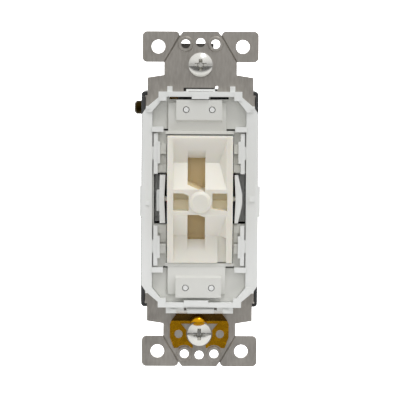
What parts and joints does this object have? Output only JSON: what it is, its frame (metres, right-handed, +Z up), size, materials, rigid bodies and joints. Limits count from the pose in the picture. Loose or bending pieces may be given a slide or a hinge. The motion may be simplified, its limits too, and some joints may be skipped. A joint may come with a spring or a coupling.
{
  "type": "toggle wall switch",
  "caption": "Rocker-actuated toggle wall switch on a steel strap, with its front frame, back body, contact mechanism, terminals and grounding clip, without a face cover.",
  "frame": {"origin": "middle between the two wall-plate screw holes, on the strap's back face", "axes": "+X to the right seen from the front, +Z up along the strap, -Y out of the front towards the user"},
  "size_m": [0.0389, 0.0347, 0.1038],
  "materials": {
    "galvanised_steel": "satin zinc plate",
    "white_plastic": "moulded, slightly satin",
    "grey_white_plastic": "moulded, matte",
    "ivory_plastic": "moulded, satin, slightly translucent",
    "black_plastic": "moulded thermoset, satin",
    "bright_steel": "bright plated",
    "fibre": "pressed fibre",
    "brass": "stamped, bright",
    "dark_brass": "dark oxidised",
    "green_screw": "green dyed plating",
    "copper_strip": "rolled copper alloy",
    "silver_contact": "silver alloy"
  },
  "bodies": {
    "switch_body": {"strap": "galvanised_steel", "front_frame": "white_plastic", "mechanism_cover": "grey_white_plastic", "cover_pins": "white_plastic", "pivot_clip_left": "white_plastic", "pivot_clip_right": "white_plastic", "back_body": "black_plastic", "mounting_screw_top": "bright_steel", "mounting_screw_bottom": "bright_steel", "screw_retainer_top": "fibre", "screw_retainer_bottom": "fibre", "ground_clip": "brass", "ground_clip_rivets": "galvanised_steel", "ground_bracket": "brass", "fixed_contact": "silver_contact", "common_terminal": "brass", "load_terminal": "brass", "stop_pad": "fibre", "common_clamp_plate": "brass", "load_clamp_plate": "brass", "common_push_in_spring": "bright_steel", "load_push_in_spring": "bright_steel"},
    "rocker": {"rocker": "ivory_plastic", "plunger_spring": "bright_steel"},
    "plunger": {"plunger": "ivory_plastic"},
    "contact_arm": {"contact_arm": "copper_strip", "moving_contact": "silver_contact"},
    "common_screw": {"common_screw": "dark_brass"},
    "load_screw": {"load_screw": "dark_brass"},
    "ground_screw": {"ground_screw": "green_screw"}
  },
  "joints": [
    {"name": "rocker_tilt", "type": "hinge", "parent": "switch_body", "child": "rocker", "pos_m": [0, -0.0026, 0.0004], "axis": [-1, 0, 0], "range_deg": [0, 10]},
    {"name": "contact_arm_swing", "type": "hinge", "parent": "switch_body", "child": "contact_arm", "pos_m": [0, 0.0122, 0.0004], "axis": [-1, 0, 0], "range_deg": [-12.01, 0]},
    {"name": "plunger_slide", "type": "slide", "parent": "rocker", "child": "plunger", "axis": [0, -0.9962, -0.0872], "range_m": [0, 0.0012], "stiffness_N_per_m": 300, "springref_m": -0.002, "deforming": ["plunger_spring"]},
    {"name": "common_screw_travel", "type": "slide", "parent": "switch_body", "child": "common_screw", "axis": [1, 0, 0], "range_m": [0, 0.002]},
    {"name": "load_screw_travel", "type": "slide", "parent": "switch_body", "child": "load_screw", "axis": [-1, 0, 0], "range_m": [0, 0.0025]},
    {"name": "ground_screw_travel", "type": "slide", "parent": "switch_body", "child": "ground_screw", "axis": [-1, 0, 0], "range_m": [0, 0.0025]}
  ],
  "couplings": [
    {"joint": "contact_arm_swing", "follows": "rocker_tilt", "ratio": -1.2}
  ]
}
